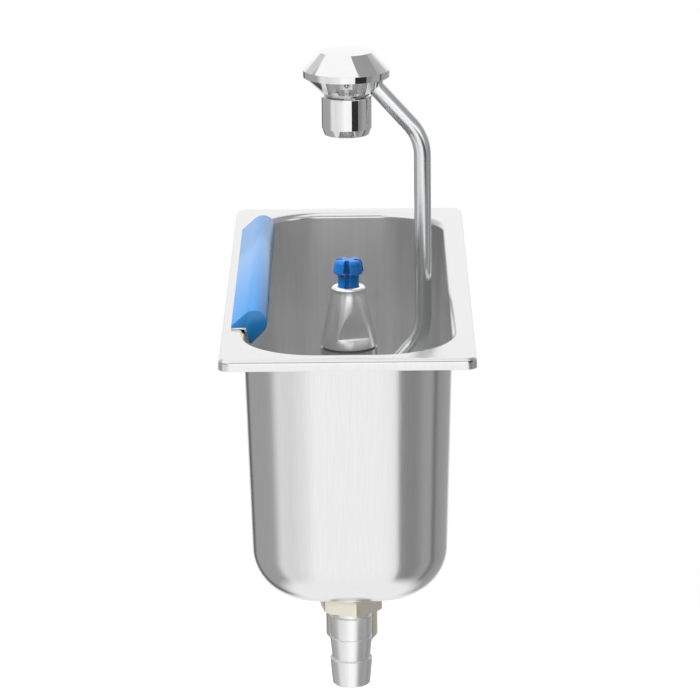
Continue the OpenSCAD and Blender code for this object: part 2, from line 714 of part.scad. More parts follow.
module spray_plate() {
    color(steel) translate([0, 0, plate_z]) difference() {
        cylinder(r = head_spigot_r, h = spray_plate_t);
        for (i = [0:spray_holes - 1]) rotate([0, 0, 360 * i / spray_holes])
            translate([spray_ring_share * (head_spigot_r - collar_lip_w), 0, -overrun])
                cylinder(r = spray_hole_r, h = spray_plate_t + 2 * overrun, $fn = 24);
        for (i = [0:spray_holes / 2 - 1]) rotate([0, 0, 720 * i / spray_holes])
            translate([spray_inner_share * (head_spigot_r - collar_lip_w), 0, -overrun])
                cylinder(r = spray_hole_r, h = spray_plate_t + 2 * overrun, $fn = 24);
        translate([0, 0, -overrun]) cylinder(r = spray_hole_r, h = spray_plate_t + 2 * overrun, $fn = 24);
    }
}

module head_seal() {
    color(rubber) translate([0, 0, plate_z + spray_plate_t]) ring(head_spigot_r, head_chamber_r, head_seal_t);
}

module drain_body() {
    color(bright_steel) translate([0, -drain_y, 0]) difference() {
        union() {
            translate([0, 0, drain_flange_z]) rotate_extrude()
                polygon([[0, 0], [drain_flange_r, 0], [drain_flange_r, drain_flange_t / 2],
                         [drain_flange_r - drain_flange_t / 2, drain_flange_t], [0, drain_flange_t]]);
            translate([0, 0, drain_stem_foot]) cylinder(r = stem_pipe_r, h = drain_flange_z - drain_stem_foot);
        }
        translate([0, 0, drain_stem_foot - overrun])
            cylinder(r = drain_bore_r, h = drain_flange_z + drain_flange_t - drain_stem_foot + 2 * overrun);
        translate([0, 0, strainer_z]) cylinder(r = strainer_r + free_gap, h = strainer_t + overrun);
    }
}

module drain_gasket() {
    color(rubber) translate([0, -drain_y, floor_top])
        ring(drain_flange_r - drain_gasket_t / 2, floor_hole_r, drain_gasket_t);
}

module drain_strainer() {
    color(bright_steel) translate([0, -drain_y, strainer_z]) {
        difference() {
            cylinder(r = strainer_r, h = strainer_t);
            for (share = [strainer_ring_share, strainer_inner_share], i = [0:strainer_ring_holes - 1])
                if (share == strainer_ring_share || i % 2 == 0)
                    rotate([0, 0, 360 * i / strainer_ring_holes]) translate([share * strainer_r, 0, -overrun])
                        cylinder(r = strainer_hole_r, h = strainer_t + 2 * overrun, $fn = 24);
        }
        translate([0, 0, strainer_t]) rotate_extrude()
            polygon([[0, 0], [strainer_knob_r / 2, 0], [strainer_knob_r / 2, strainer_knob_h / 2],
                     [strainer_knob_r, strainer_knob_h - turned_edge], [strainer_knob_r - turned_edge, strainer_knob_h],
                     [0, strainer_knob_h]]);
    }
}

module drain_seal() {
    color(rubber) translate([0, -drain_y, floor_under - drain_seal_t])
        ring(stem_pipe_r + seal_ring_w - turned_edge, floor_hole_r, drain_seal_t);
}

module drain_washer() {
    color(nickel) translate([0, -drain_y, drain_nut_top])
        ring(stem_pipe_r + seal_ring_w, floor_hole_r, drain_washer_t);
}

module drain_locknut() {
    color(nickel) translate([0, -drain_y, drain_stem_foot]) rotate([0, 0, drain_nut_turn])
        nut(drain_nut_w, stem_pipe_r + running_gap, drain_nut_h);
}

module hose_tail() {
    barb_l = barb_pitch * (barbs - 1) + tail_end_h;
    outline = concat(
        [[0, tail_spigot_h], [tail_spigot_r, tail_spigot_h], [tail_spigot_r, 0], [tail_neck_r, 0],
         [tail_neck_r, -tail_neck_h]],
        [for (i = [0:barbs - 1])
            let (z = -tail_neck_h - i * barb_pitch,
                 h = i == barbs - 1 ? tail_end_h - tail_end_chamfer : barb_pitch,
                 depth = i == 0 ? barb_depth * first_barb_share : barb_depth)
            each [[barb_r, z], [barb_r - depth, z - h]]],
        [[barb_r - barb_depth - tail_end_chamfer, -tail_neck_h - barb_l], [0, -tail_neck_h - barb_l]]);
    color(bright_steel) translate([0, -drain_y, drain_stem_foot]) difference() {
        rotate_extrude() polygon(outline);
        translate([0, 0, -tail_neck_h - barb_l - overrun])
            cylinder(r = tail_bore_r, h = tail_neck_h + barb_l + tail_spigot_h + 2 * overrun);
    }
}

basin();
wiper_angle();
wiper_bar();
valve_body();
body_gasket();
inlet_washer();
inlet_locknut();
inlet_coupling();
nozzle_cone();
nozzle_seal();
spray_plunger();
valve_rod();
valve_poppet();
poppet_seal();
valve_spring();
spring_seat();
rinse_tube();
tube_nut();
tube_olive();
spray_head();
head_collar();
spray_plate();
head_seal();
drain_body();
drain_gasket();
drain_strainer();
drain_seal();
drain_washer();
drain_locknut();
hose_tail();
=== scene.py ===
import json
import math

import bmesh
import bpy
from mathutils import Matrix, Vector


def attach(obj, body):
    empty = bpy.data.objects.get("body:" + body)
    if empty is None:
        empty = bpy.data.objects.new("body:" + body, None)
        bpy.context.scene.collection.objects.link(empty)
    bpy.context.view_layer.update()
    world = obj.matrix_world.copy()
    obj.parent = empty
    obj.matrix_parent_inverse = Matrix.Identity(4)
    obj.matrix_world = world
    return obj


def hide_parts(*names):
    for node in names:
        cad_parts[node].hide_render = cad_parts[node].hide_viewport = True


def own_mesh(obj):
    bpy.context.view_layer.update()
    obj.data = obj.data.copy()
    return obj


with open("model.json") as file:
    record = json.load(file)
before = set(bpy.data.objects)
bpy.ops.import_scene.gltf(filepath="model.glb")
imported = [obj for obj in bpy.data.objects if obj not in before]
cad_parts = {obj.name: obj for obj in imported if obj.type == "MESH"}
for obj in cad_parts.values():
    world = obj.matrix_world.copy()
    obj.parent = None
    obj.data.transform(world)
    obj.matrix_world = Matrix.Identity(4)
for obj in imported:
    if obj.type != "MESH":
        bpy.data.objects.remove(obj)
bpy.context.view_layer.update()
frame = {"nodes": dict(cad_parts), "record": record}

mm = 0.001  # the frame is in metres, the sizes of the pieces below in millimetres
turnedSegments = 128  # sides of a turned piece
oneSpot = 1e-7  # vertices closer than this, in metres, become one


def linear(hexColour):
    raw = [int(hexColour[i:i + 2], 16) / 255 for i in (1, 3, 5)]
    return [c / 12.92 if c <= 0.04045 else ((c + 0.055) / 1.055) ** 2.4 for c in raw] + [1.0]


def addNode(tree, kind, feeds=None, **settings):
    made = tree.nodes.new(kind)
    for key, value in settings.items():
        setattr(made, key, value)
    for socket, value in (feeds or {}).items():
        if isinstance(value, bpy.types.NodeSocket):
            tree.links.new(value, made.inputs[socket])
        else:
            made.inputs[socket].default_value = value
    return made


paintedLightHeight = -0.045  # height in metres at which the painted light inside the bowl is full
markRange = (0.3, 0.7)  # the part of the noise that becomes marks
dentDepth = 0.05  # of the marks, in millimetres


# grain is the number of marks to a metre along x, y and z; the depth gain is painted light, brightening the metal's
# colour from the counter down
def surface(name, colour, metallic, rough, grain, spread=0.03, tint=0.03, bump=0.0, paintedLightGain=1.0, own=None):
    made = bpy.data.materials.new(name)
    made.use_nodes = True
    tree = made.node_tree
    skin = tree.nodes["Principled BSDF"]
    place = addNode(tree, "ShaderNodeTexCoord")
    stretch = addNode(tree, "ShaderNodeMapping", {"Vector": place.outputs["Object"], "Scale": grain})
    marks = addNode(tree, "ShaderNodeTexNoise", {"Vector": stretch.outputs["Vector"], "Scale": 1.0, "Detail": 3.0})
    middle = {"Value": marks.outputs["Fac"], "From Min": markRange[0], "From Max": markRange[1]}
    roughs = addNode(tree, "ShaderNodeMapRange", {**middle, "To Min": rough - spread, "To Max": rough + spread})
    tones = addNode(tree, "ShaderNodeMapRange", {**middle, "To Min": 1 - tint, "To Max": 1 + tint})
    shade = addNode(tree, "ShaderNodeVectorMath", {0: linear(colour)[:3], "Scale": tones.outputs["Result"]},
                    operation="SCALE")
    if paintedLightGain != 1.0:
        # painted light: the colour is brightened by height, most at the bottom of the bowl
        depth = addNode(tree, "ShaderNodeSeparateXYZ", {0: place.outputs["Object"]})
        paintedBrightening = addNode(tree, "ShaderNodeMapRange", {"Value": depth.outputs["Z"], "From Min": 0.0,
                                                    "From Max": paintedLightHeight, "To Min": 1.0, "To Max": paintedLightGain})
        shade = addNode(tree, "ShaderNodeVectorMath", {0: shade.outputs["Vector"], "Scale": paintedBrightening.outputs["Result"]},
                        operation="SCALE")
    tree.links.new(shade.outputs["Vector"], skin.inputs["Base Color"])
    tree.links.new(roughs.outputs["Result"], skin.inputs["Roughness"])
    if bump:
        dents = addNode(tree, "ShaderNodeBump", {"Height": marks.outputs["Fac"], "Strength": bump,
                                                 "Distance": dentDepth * mm})
        tree.links.new(dents.outputs["Normal"], skin.inputs["Normal"])
    skin.inputs["Metallic"].default_value = metallic
    for socket, value in (own or {}).items():
        skin.inputs[socket].default_value = value
    return made


materials = {
    # brushed stainless sheet: fine lines down the wall, 0.4 mm apart, that soften what it mirrors
    "basin_steel": surface("brushedStainless", "#dddddd", 1.0, 0.2, (2600, 2600, 14), bump=0.08),
    # the same sheet inside the bowl, duller from drawing; painted light below: its colour brightened towards the
    # bottom, standing in for the light the walls throw on each other
    "inside": surface("satinStainlessPaintedLight", "#d4d4d4", 1.0, 0.36, (500, 500, 8), bump=0.05, paintedLightGain=1.35),
    # polished stainless of the small parts, with faint turning marks
    "bright_steel": surface("polishedStainless", "#e2e3e4", 1.0, 0.17, (2200, 2200, 40), 0.04, bump=0.1),
    # turned and blasted stainless: an even satin that blurs the walls round it
    "cone": surface("satinTurnedStainless", "#f6f6f6", 1.0, 0.29, (1500, 1500, 60), 0.01, bump=0.01),
    # turned stainless left as it came from the tool, a little darker
    "body": surface("turnedStainless", "#cfcfcf", 1.0, 0.32, (120, 120, 3000), 0.03, bump=0.03),
    # tumbled stainless casting: pale and soft, no sharp mirror lines
    "tail": surface("tumbledStainless", "#eeeeee", 1.0, 0.33, (1500, 1500, 60), bump=0.05),
    # drawn and polished tube: long clear streaks of light
    "tube": surface("drawnStainlessTube", "#dedfe0", 1.0, 0.2, (700, 700, 60), 0.02, 0.02),
    # chrome plate on turned brass: a mirror, with only a trace of haze
    "chrome": surface("chromePlate", "#e6e6e6", 1.0, 0.035, (300, 300, 300), 0.006, 0.01),
    # satin nickel plate, warm and pale
    "nickel": surface("satinNickelPlate", "#eeeada", 1.0, 0.3, (900, 900, 900), 0.02, 0.008, 0.01),
    # machined brass inside the valve: yellow, with fine lines round it
    "brass": surface("machinedBrass", "#c9b06a", 1.0, 0.25, (150, 150, 2500), 0.04, 0.03, 0.04),
    # extruded polyethylene: deep blue, its waxy skin turning pale at low angles, with faint marks along its length
    "bar_blue": surface("bluePolyethylene", "#1474b4", 0.0, 0.3, (900, 60, 900), 0.04, 0.03, 0.05,
                        own={"Specular IOR Level": 0.0, "Coat Weight": 1.0, "Coat Roughness": 0.24,
                             "Coat IOR": 1.55}),
    # moulded acetal: deep blue, smooth, a low even gloss
    "plunger_blue": surface("blueAcetal", "#0d66b0", 0.0, 0.28, (900, 900, 900), 0.02, 0.006,
                            own={"Specular IOR Level": 0.3}),
    # grey nitrile rubber, matt and slightly dusty
    "rubber": surface("greyRubber", "#808080", 0.0, 0.6, (1200, 1200, 1200), 0.05, 0.05, 0.05),
    # dark cloth of a studio flag, seen only in what the metal mirrors
    "black": surface("flagCloth", "#222222", 0.0, 0.8, (400, 400, 400), 0.05, 0.05),
}
print("materials", len(materials))

bodyOf = {node: body for body, nodes in frame["record"]["behaviour"]["bodies"].items() for node in nodes}


def meshOf(name, verts, faces, edges=()):
    data = bpy.data.meshes.new(name)
    data.from_pydata([[c * mm for c in v] for v in verts], edges, faces)
    return data


# one vertex at each place, and every face pointing outwards
def cleaned(data):
    tidy = bmesh.new()
    tidy.from_mesh(data)
    bmesh.ops.remove_doubles(tidy, verts=tidy.verts, dist=oneSpot)
    bmesh.ops.recalc_face_normals(tidy, faces=tidy.faces)
    tidy.to_mesh(data)
    tidy.free()
    return data


def added(name, data):
    made = bpy.data.objects.new(name, data)
    bpy.context.scene.collection.objects.link(made)
    return made


# the holder's mesh with its modifiers applied; the holder and its tools go
def baked(holder, *tools):
    made = bpy.data.meshes.new_from_object(holder.evaluated_get(bpy.context.evaluated_depsgraph_get()))
    for leftover in (holder, *tools):
        bpy.data.objects.remove(leftover)
    return made


def seated(name, data, node, material, sharp=30.0):
    cleaned(data)
    data.shade_smooth()
    data.set_sharp_from_angle(angle=math.radians(sharp))
    data.materials.clear()
    data.materials.append(materials[material])
    piece = added(name, data)
    if node:
        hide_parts(node)
        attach(piece, bodyOf[node])
    return piece


def newPiece(name, verts, faces, node, material, sharp=30.0):
    return seated(name, meshOf(name, verts, faces), node, material, sharp)


def blank(verts, faces):
    return added("blank", cleaned(meshOf("blank", verts, faces)))


def boxBlank(low, high, turn=0.0):
    verts = [(x, y, z) for x in (low[0], high[0]) for y in (low[1], high[1]) for z in (low[2], high[2])]
    faces = [(0, 1, 3, 2), (4, 6, 7, 5), (0, 4, 5, 1), (2, 3, 7, 6), (0, 2, 6, 4), (1, 5, 7, 3)]
    c, s = math.cos(math.radians(turn)), math.sin(math.radians(turn))
    return blank([(x * c - y * s, x * s + y * c, z) for x, y, z in verts], faces)


# a slot's cutter, of one width at its foot and another at its top
def wedgeBlank(near, far, foot, top, turn):
    levels = [foot, top, (top[0] + 2, top[1])]
    c, s = math.cos(math.radians(turn)), math.sin(math.radians(turn))
    verts = [(x * c - y * s, x * s + y * c, z) for z, width in levels
             for x, y in ((near, -width / 2), (far, -width / 2), (far, width / 2), (near, width / 2))]
    faces = [(3, 2, 1, 0), (8, 9, 10, 11)]
    for i in (0, 4):
        for k in range(4):
            m = (k + 1) % 4
            faces.append((i + k, i + m, i + 4 + m, i + 4 + k))
    return blank(verts, faces)


def carved(body, tools, operation="DIFFERENCE"):
    for tool in tools:
        cut = body.modifiers.new("cut", "BOOLEAN")
        cut.operation, cut.solver, cut.object = operation, "EXACT", tool
    return baked(body, *tools)


def bevelled(data, width, angle=35.0, segments=2):
    holder = added("holder", data)
    edge = holder.modifiers.new("edge", "BEVEL")
    edge.width, edge.segments, edge.limit_method = width * mm, segments, "ANGLE"
    edge.angle_limit = math.radians(angle)
    return baked(holder)


def arc(c, r, a, b, steps):
    turns = [math.radians(a + (b - a) * i / steps) for i in range(steps + 1)]
    return [(c[0] + r * math.cos(t), c[1] + r * math.sin(t)) for t in turns]


# rounds the corners of an open outline; radii is one radius, or one for each corner's number
def softened(points, radii, steps=4):
    out = []
    for i, p in enumerate(points):
        r = radii.get(i, 0) if isinstance(radii, dict) else radii
        if not r or i in (0, len(points) - 1):
            out.append(p)
            continue
        p0, p1, p2 = Vector(points[i - 1]), Vector(p), Vector(points[i + 1])
        u, v = (p0 - p1).normalized(), (p2 - p1).normalized()
        half = math.acos(max(-1.0, min(1.0, u.dot(v)))) / 2
        if abs(math.cos(half)) < 0.02:
            out.append(p)
            continue
        run = min(r / math.tan(half), 0.49 * (p0 - p1).length, 0.49 * (p2 - p1).length)
        start, end = p1 + u * run, p1 + v * run
        for k in range(steps + 1):
            t = k / steps
            q = start * (1 - t) ** 2 + p1 * (2 * t * (1 - t)) + end * t ** 2
            out.append((q.x, q.y))
    return out


def latheMesh(outline, centre=(0, 0), segments=96, closed=False):
    verts, faces = [], []
    for k in range(segments):
        t = 2 * math.pi * k / segments
        for r, z in outline:
            verts.append((centre[0] + r * math.cos(t), centre[1] + r * math.sin(t), z))
    n = len(outline)
    for k in range(segments):
        m = (k + 1) % segments
        for i in range(n if closed else n - 1):
            j = (i + 1) % n
            faces.append((k * n + i, m * n + i, m * n + j, k * n + j))
    return verts, faces


def lathe(name, outline, node, material, centre=(0, 0), segments=96, closed=False):
    verts, faces = latheMesh(outline, centre, segments, closed)
    return newPiece(name, verts, faces, node, material)


# closes the two open ends of a lathed mesh whose outline has n points
def capped(meshed, n):
    verts, faces = meshed
    segments = len(verts) // n
    return verts, faces + [tuple(k * n for k in range(segments)), tuple(k * n + n - 1 for k in range(segments))]


# the outline moved inwards by inset
def shrunk(outline, inset):
    out = []
    n = len(outline)
    area = sum(outline[i][0] * outline[(i + 1) % n][1] - outline[(i + 1) % n][0] * outline[i][1] for i in range(n))
    side = 1 if area > 0 else -1
    for i in range(n):
        a, b, c = Vector(outline[i - 1]), Vector(outline[i]), Vector(outline[(i + 1) % n])
        u, v = (b - a).normalized(), (c - b).normalized()
        nu, nv = Vector((-u.y, u.x)) * side, Vector((-v.y, v.x)) * side
        mid = nu + nv
        mid = mid / max(mid.dot(nu), 0.4)
        out.append(tuple(b + mid * inset))
    return out


# an outline in x and z, drawn out to half its length each way, its two ends rounded by trim
def extruded(outline, half, trim=0.3, steps=2):
    ends = []
    for side in (-1, 1):
        turns = [math.pi / 2 * k / steps for k in range(steps + 1)]
        ends.append([(side * (half - trim * (1 - math.sin(t))), trim * (1 - math.cos(t))) for t in turns])
    order = ends[0][::-1] + ends[1]
    n = len(outline)
    verts = [(x, y, z) for y, inset in order for x, z in shrunk(outline, inset)]
    faces = []
    for i in range(len(order) - 1):
        for k in range(n):
            m = (k + 1) % n
            faces.append((i * n + k, i * n + m, (i + 1) * n + m, (i + 1) * n + k))
    faces += [tuple(range(n)), tuple((len(order) - 1) * n + k for k in range(n))]
    return verts, faces


# Geometry Nodes: a round pipe along a path, for the tube and the spring's wire
def makePipeTree():
    tree = bpy.data.node_groups.new("pipeAlongPath", "GeometryNodeTree")
    for name, kind in (("Path", "Geometry"), ("Pipe Radius", "Float"), ("Sides", "Int"), ("Finish", "Material")):
        tree.interface.new_socket(name, in_out="INPUT", socket_type="NodeSocket" + kind)
    tree.interface.new_socket("Pipe", in_out="OUTPUT", socket_type="NodeSocketGeometry")
    given = addNode(tree, "NodeGroupInput").outputs
    line = addNode(tree, "GeometryNodeMeshToCurve", {"Mesh": given["Path"]})
    ring = addNode(tree, "GeometryNodeCurvePrimitiveCircle", {"Resolution": given["Sides"],
                                                              "Radius": given["Pipe Radius"]})
    skin = addNode(tree, "GeometryNodeCurveToMesh", {"Curve": line.outputs["Curve"], "Fill Caps": True,
                                                     "Profile Curve": ring.outputs["Curve"]})
    real = addNode(tree, "GeometryNodeRealizeInstances", {"Geometry": skin.outputs["Mesh"]})
    coated = addNode(tree, "GeometryNodeSetMaterial", {"Geometry": real.outputs["Geometry"],
                                                       "Material": given["Finish"]})
    addNode(tree, "NodeGroupOutput", {"Pipe": coated.outputs["Geometry"]})
    return tree


pipeTree = makePipeTree()


def pipe(name, path, r, sides, node, material):
    holder = added("holder", meshOf("path", path, [], [(i, i + 1) for i in range(len(path) - 1)]))
    run = holder.modifiers.new("pipe", "NODES")
    run.node_group = pipeTree
    keys = {item.name: item.identifier for item in pipeTree.interface.items_tree if item.in_out == "INPUT"}
    run[keys["Pipe Radius"]], run[keys["Sides"]], run[keys["Finish"]] = r * mm, sides, materials[material]
    return seated(name, baked(holder), node, material, 40.0)


# each pair is x and y; R is a radius, X is measured from the axis of a corner, lean and draft are in degrees
basinSizes = {
    "rimAxis": (50.0, 130.0), "edgeR": 2.0, "rimTop": 5.0, "rimCornerR": 5.0, "lean": 3.0, "sheet": 0.8,
    "lipRound": 0.15, "lipIn": 0.02, "bowlAxis": (12.6, 93.1), "mouthX": 35.0, "mouthR": 3.0, "draft": 1.6,
    "flatR": 7.4, "depth": 119.0, "floorSteps": 16, "mouthSteps": 12, "edgeSteps": 8, "cornerSteps": 20,
    "holes": ((0.0, 0.0), (0.0, -80.0)), "holeR": 10.7, "holeFrom": -118, "holeTo": -110, "holeSides": 64,
}


def ringOf(axis, r, z, steps):
    out = []
    for k, (sx, sy) in enumerate(((1, 1), (-1, 1), (-1, -1), (1, -1))):
        for i in range(steps + 1):
            t = math.radians(90 * k + 90 * i / steps)
            out.append((sx * axis[0] + r * math.cos(t), sy * axis[1] + r * math.sin(t), z))
    return out


def buildBasin():
    s = basinSizes
    bowl, rim, sheet, draft = s["bowlAxis"], s["rimAxis"], s["sheet"], math.radians(s["draft"])
    floorTop = s["rimTop"] - s["depth"] + sheet
    mouthZ, mouthX, bendX = s["rimTop"] - s["mouthR"], s["mouthX"], s["flatR"]
    run = mouthX - s["mouthR"] / math.cos(draft) - bendX
    bendR = (run * math.cos(draft) - (mouthZ - floorTop) * math.sin(draft)) / (1 - math.sin(draft))
    bendZ = floorTop + bendR
    lean, edgeZ = math.radians(s["lean"]), s["rimTop"] - s["edgeR"]
    edgeX = s["rimCornerR"] - s["edgeR"] * math.cos(lean) - (edgeZ + s["edgeR"] * math.sin(lean)) * math.tan(lean)
    lipX, lipIn, lipRound = s["rimCornerR"], s["lipIn"], s["lipRound"]
    # the side that faces up and into the bowl, from the floor's bend to the lip's foot, then the side below it
    inner = [(bowl, p) for p in arc((bendX, bendZ), bendR, -90, -s["draft"], s["floorSteps"])]
    inner += [(bowl, p) for p in arc((mouthX, mouthZ), s["mouthR"], 180 - s["draft"], 90, s["mouthSteps"])]
    inner += [(rim, p) for p in arc((edgeX, edgeZ), s["edgeR"], 90, s["lean"], s["edgeSteps"])]
    inner += [(rim, p) for p in ((lipX - lipIn, lipRound), (lipX - lipRound, 0.0))]
    outer = [(bowl, p) for p in arc((bendX, bendZ), bendR + sheet, -90, -s["draft"], s["floorSteps"])]
    outer += [(bowl, p) for p in arc((mouthX, mouthZ), s["mouthR"] - sheet, 180 - s["draft"], 90, s["mouthSteps"])]
    outer += [(rim, p) for p in arc((edgeX, edgeZ), s["edgeR"] - sheet, 90, s["lean"], s["edgeSteps"])]
    outer += [(rim, p) for p in ((lipX - sheet + lipIn, lipRound), (lipX - sheet + lipRound, 0.0))]
    rings = [ringOf(axis, r, z, s["cornerSteps"]) for axis, (r, z) in inner + outer[::-1]]
    count = len(rings[0])
    verts = [v for ring in rings for v in ring]
    faces = [tuple(range(count)), tuple((len(rings) - 1) * count + k for k in range(count))]
    for i in range(len(rings) - 1):
        for k in range(count):
            m = (k + 1) % count
            faces.append((i * count + k, i * count + m, (i + 1) * count + m, (i + 1) * count + k))
    drill = [(s["holeR"], s["holeFrom"]), (s["holeR"], s["holeTo"])]
    drills = [blank(*capped(latheMesh(drill, spot, s["holeSides"]), 2)) for spot in s["holes"]]
    shell = seated("basinShell", carved(blank(verts, faces), drills), "basin", "basin_steel", 40.0)
    shell.data.materials.append(materials["inside"])
    for face in shell.data.polygons:
        spot, facing = face.center / mm, face.normal
        out = [spot[i] - max(-bowl[i], min(bowl[i], spot[i])) for i in (0, 1)]
        turnedIn = out[0] * facing[0] + out[1] * facing[1] < 0 or facing[2] > 0.5
        if spot[2] < mouthZ and math.hypot(*out) < mouthX and turnedIn:
            face.material_index = 1
    return shell


# corner is the x and z of the notch's corner; round gives the radii of the outline's corners by number
wiperSizes = {"corner": (-44.44, 5.8), "r": 5.7, "back": (3.7, 2.22), "wing": 6.3, "leg": 7.1, "lean": 11.3,
              "tip": 1.0, "angleT": 0.8, "length": 172.6, "backSteps": 32, "round": {1: 0.2, 2: 0.25, 3: 0.3},
              "angleIn": 0.4, "angleTrim": 0.1}


def buildWiper():
    s = wiperSizes
    lean = math.radians(s["lean"])
    down = Vector((math.sin(lean), -math.cos(lean)))
    legFoot = down * s["leg"]
    legTip = legFoot + Vector((math.cos(lean), -math.sin(lean))) * s["tip"]
    wingTip = Vector((-s["wing"], s["tip"]))
    c = Vector(s["back"])

    # where a straight run from p meets the round back
    def touch(p, side):
        return math.degrees(math.atan2(p.y - c.y, p.x - c.x) + side * math.acos(s["r"] / (p - c).length))

    back = arc(s["back"], s["r"], touch(legTip, 1), touch(wingTip, -1) + 360, s["backSteps"])
    outline = softened([(-s["wing"], 0.0), (0.0, 0.0), tuple(legFoot), tuple(legTip)] + back + [tuple(wingTip)],
                       s["round"], 3)
    placed = [(s["corner"][0] + x, s["corner"][1] + z) for x, z in outline]
    verts, faces = extruded(placed, s["length"] / 2)
    newPiece("wiperBar", verts, faces, "wiper_bar", "bar_blue", 40.0)
    t = s["angleT"]
    across = Vector((math.cos(lean), math.sin(lean))) * t
    inside = t * (1 - math.sin(lean)) / math.cos(lean)
    corner = [Vector((-s["wing"], 0)), Vector((0, 0)), legFoot, legFoot - across, down * inside - across,
              Vector((-s["wing"], -t))]
    placed = [(s["corner"][0] + p.x, s["corner"][1] + p.y) for p in corner]
    verts, faces = extruded(placed, s["length"] / 2 - s["angleIn"], s["angleTrim"])
    newPiece("wiperAngle", verts, faces, "wiper_angle", "bright_steel", 40.0)


nozzleSizes = {"foot": -26.15, "h": 27.5, "ringR": 7.75, "footR": 12.9, "neckH": 2.2, "skirtH": 0.7, "ringT": 3.0,
               "boreR": 5.0, "cavityR": 6.9, "across": 18.6, "ledge": 4.8, "turn": 14.0, "blendR": 14,
               "blendSteps": 8, "footEdge": 0.4, "ringEdge": 0.7, "boreEdge": 0.3, "flatEdge": 0.12, "past": 4}


def buildNozzle():
    s = nozzleSizes
    foot, slopeTop, blendR = s["foot"], s["h"] - s["neckH"], s["blendR"]
    ring, bore = s["ringEdge"], s["boreEdge"]
    outline = [(s["boreR"], foot + s["h"] - s["ringT"]), (s["cavityR"], foot + s["h"] - s["ringT"]),
               (s["cavityR"], foot), (s["footR"] - s["footEdge"], foot), (s["footR"], foot + s["footEdge"]),
               (s["footR"], foot + s["skirtH"])]
    flare = math.degrees(math.atan((s["footR"] - s["ringR"]) / (slopeTop - s["skirtH"])))
    lead = blendR * math.tan(math.radians(flare / 2))
    outline += arc((s["ringR"] + blendR, foot + slopeTop + lead), blendR, 180 + flare, 180, s["blendSteps"])
    outline += [(s["ringR"], foot + s["h"] - ring), (s["ringR"] - ring, foot + s["h"]),
                (s["boreR"] + bore, foot + s["h"]), (s["boreR"], foot + s["h"] - bore)]
    body = blank(*latheMesh(outline, segments=turnedSegments, closed=True))
    far = s["footR"] + s["past"]
    tools = [boxBlank((-far, -far, foot + s["ledge"]), (far, -s["across"] / 2, far), s["turn"] + t)
             for t in (0, 180)]
    seated("nozzleCone", bevelled(carved(body, tools), s["flatEdge"]), "nozzle_cone", "cone", 25.0)


# the slots run from their cores outwards; voxel and easing set how soft the moulded edges are
plungerSizes = {"top": 14.0, "headFoot": 7.7, "foot": -3.7, "headR": 7.1, "topR": 6.4, "edgeR": 2.0, "stemR": 4.8,
                "stopR": 6.5, "stopH": 2, "headEdge": 0.5, "footSlot": 4.1, "topSlot": 1.9, "stemSlot": 2.2,
                "headCoreR": 2.7, "stemCoreR": 3.2, "slotEndR": 12, "slotPast": 1, "slotLap": 0.4, "lobes": 4,
                "turn": -8.0, "topSteps": 10, "voxel": 0.14, "easing": 5}


def buildPlunger():
    s = plungerSizes
    stopTop, edge = s["foot"] + s["stopH"], s["headEdge"]
    outline = [(0, s["foot"]), (s["stopR"], s["foot"]), (s["stopR"], stopTop), (s["stemR"], stopTop),
               (s["stemR"], s["headFoot"]), (s["headR"] - edge, s["headFoot"]), (s["headR"], s["headFoot"] + edge)]
    outline += arc((s["topR"] - s["edgeR"], s["top"] - s["edgeR"]), s["edgeR"], 0, 90, s["topSteps"])
    outline += [(0, s["top"])]
    body = blank(*latheMesh(outline, segments=turnedSegments))
    half, end = s["stemSlot"] / 2, s["slotEndR"]
    slotFoot, slotTop = s["foot"] - s["slotPast"], s["headFoot"] + s["slotLap"]
    tools = []
    for k in range(s["lobes"]):
        turn = s["turn"] + 360 / s["lobes"] * k
        tools.append(wedgeBlank(s["headCoreR"], end, (s["headFoot"], s["footSlot"]), (s["top"], s["topSlot"]), turn))
        tools.append(boxBlank((s["stemCoreR"], -half, slotFoot), (end, half, slotTop), turn))
    holder = added("holder", carved(body, tools))
    skin = holder.modifiers.new("skin", "REMESH")
    skin.mode, skin.voxel_size = "VOXEL", s["voxel"] * mm
    ease = holder.modifiers.new("ease", "SMOOTH")
    ease.factor, ease.iterations = 0.5, s["easing"]
    seated("sprayPlunger", baked(holder), "spray_plunger", "plunger_blue", 180.0)


# a corner is the height at which the centre lines cross; a run goes from there to the tube's end
tubeSizes = {"r": 3.85, "reach": 34.0, "bendR": 22.0, "headCorner": 70.65, "inletCorner": -21.39, "turn": 42.0,
             "headRun": 38.69, "inletRun": 32.21, "steps": 24, "sides": 48}


def buildTube():
    s = tubeSizes
    turn, lead = math.radians(s["turn"]), s["bendR"] * math.tan(math.radians(s["turn"]) / 2)
    headEnd = (s["reach"] - s["headRun"] * math.sin(turn), s["headCorner"] + s["headRun"] * math.cos(turn))
    inletEnd = (s["reach"] - s["inletRun"] * math.sin(turn), s["inletCorner"] - s["inletRun"] * math.cos(turn))
    inner = s["reach"] - s["bendR"]
    path = [headEnd] + arc((inner, s["headCorner"] - lead), s["bendR"], s["turn"], 0, s["steps"])
    path += arc((inner, s["inletCorner"] + lead), s["bendR"], 0, -s["turn"], s["steps"]) + [inletEnd]
    pipe("rinseTube", [(x, 0, z) for x, z in path], s["r"], s["sides"], "rinse_tube", "tube")


# shut is the pitch of the end turns in wire radii, thin what the drawn wire lacks at its radius
springSizes = {"wireR": 0.6, "thin": 0.02, "coilR": 4.4, "turns": 7, "endTurns": 1, "shut": 2.2, "foot": -86.67,
               "length": 18.0, "pressed": 13.5, "steps": 20, "sides": 12}
